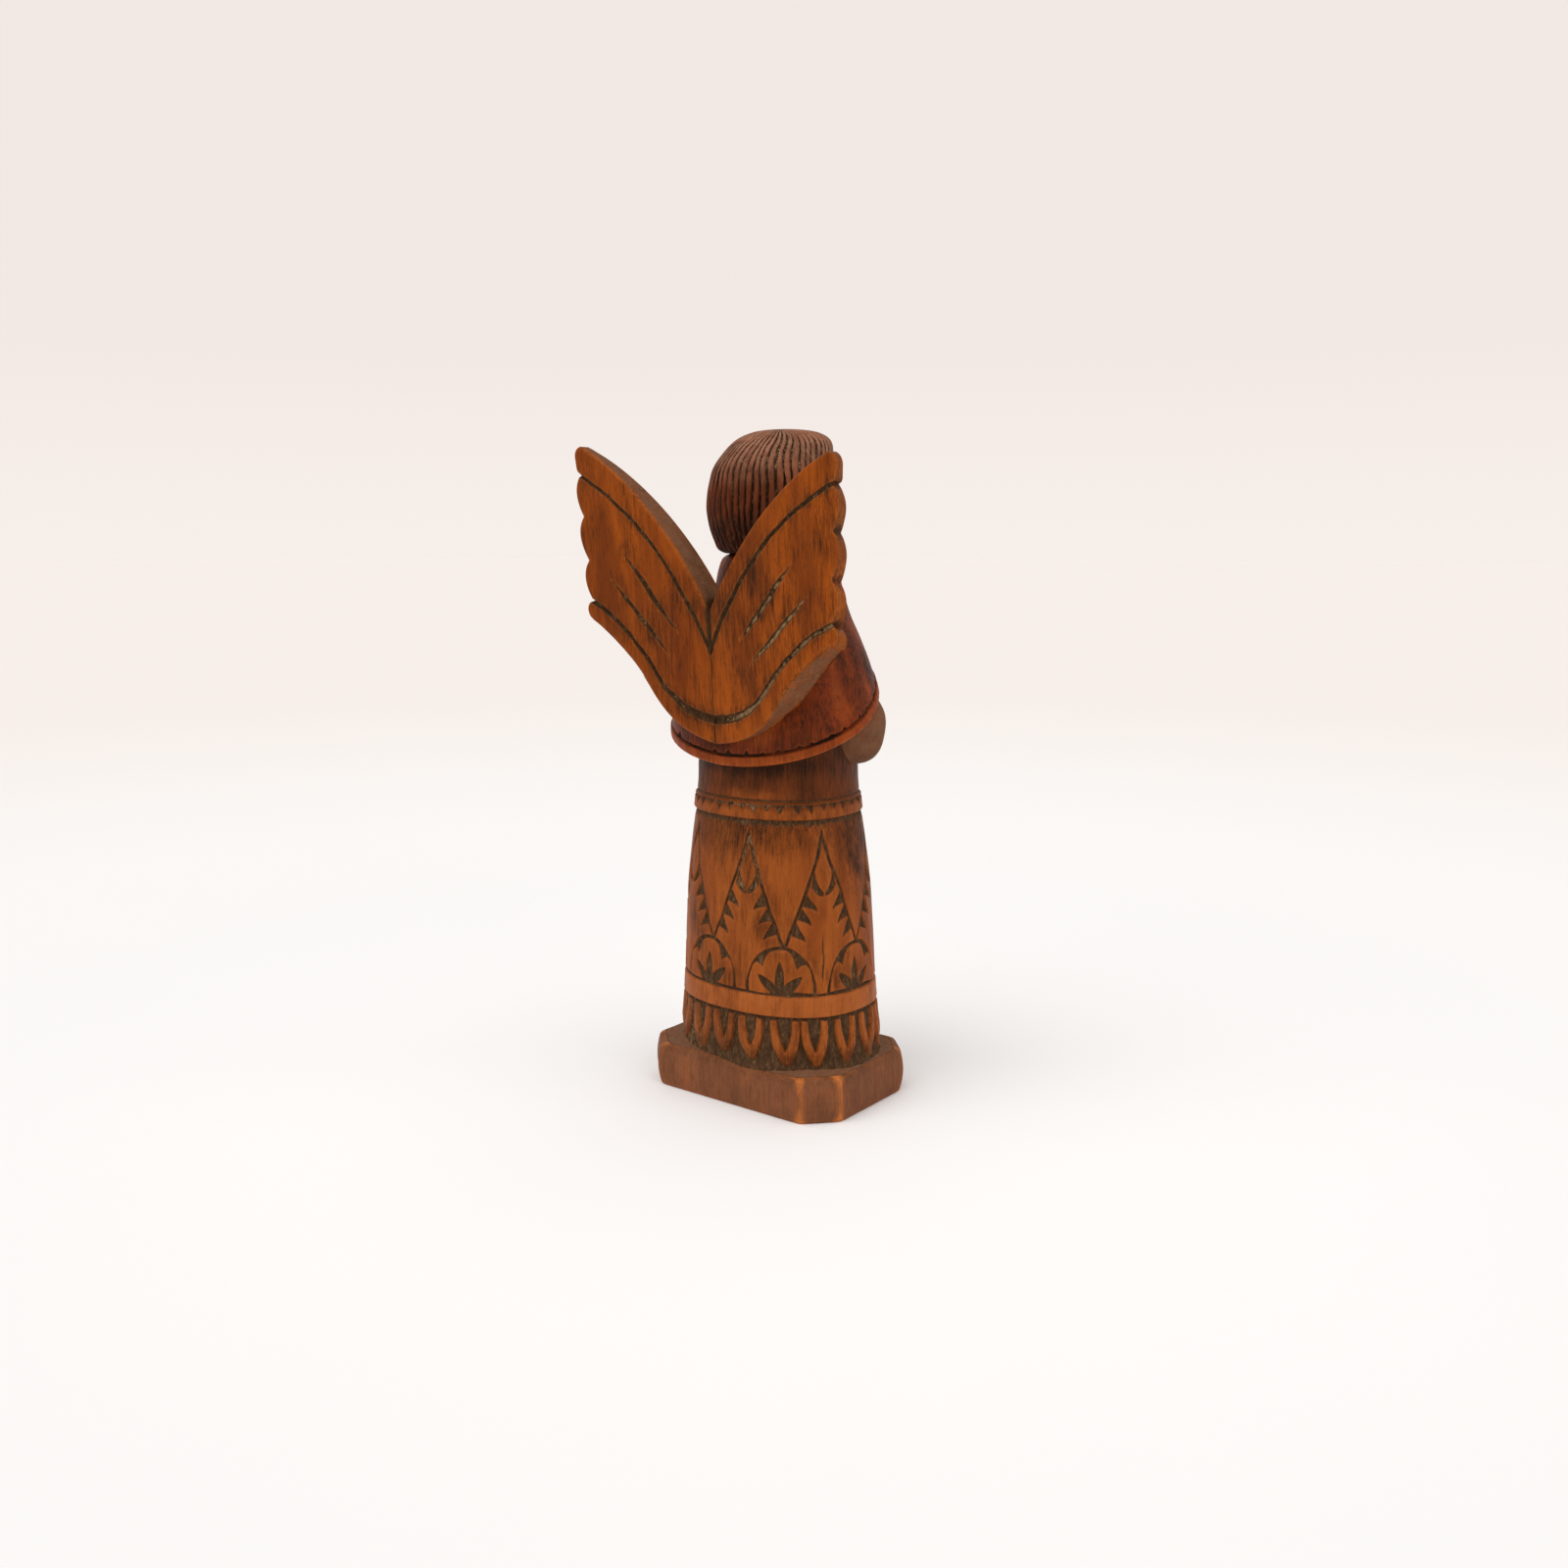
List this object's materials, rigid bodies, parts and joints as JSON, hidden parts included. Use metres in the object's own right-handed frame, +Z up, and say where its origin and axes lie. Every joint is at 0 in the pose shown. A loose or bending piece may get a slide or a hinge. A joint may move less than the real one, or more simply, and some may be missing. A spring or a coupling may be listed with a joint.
{
  "type": "angel carving",
  "caption": "Carved and stained hardwood angel on an octagonal plinth, with a cape, ridged hair, praying hands, glued board wings and a robe cut with petals, arches and tongues.",
  "frame": {"origin": "middle of the plinth's flat underside", "axes": "+Z up from the plinth to the crown; the angel faces -Y, its left hand and left wing are at +X, and the wings stand behind at +Y"},
  "size_m": [0.0953, 0.0653, 0.2006],
  "materials": {
    "figure_wood": "dark red-brown stain, satin, dusty in the cuts",
    "wing_wood": "warm orange-brown stain, satin, upright grain"
  },
  "bodies": {
    "root": {"figure": "figure_wood", "left_wing": "wing_wood", "right_wing": "wing_wood"}
  },
  "joints": []
}
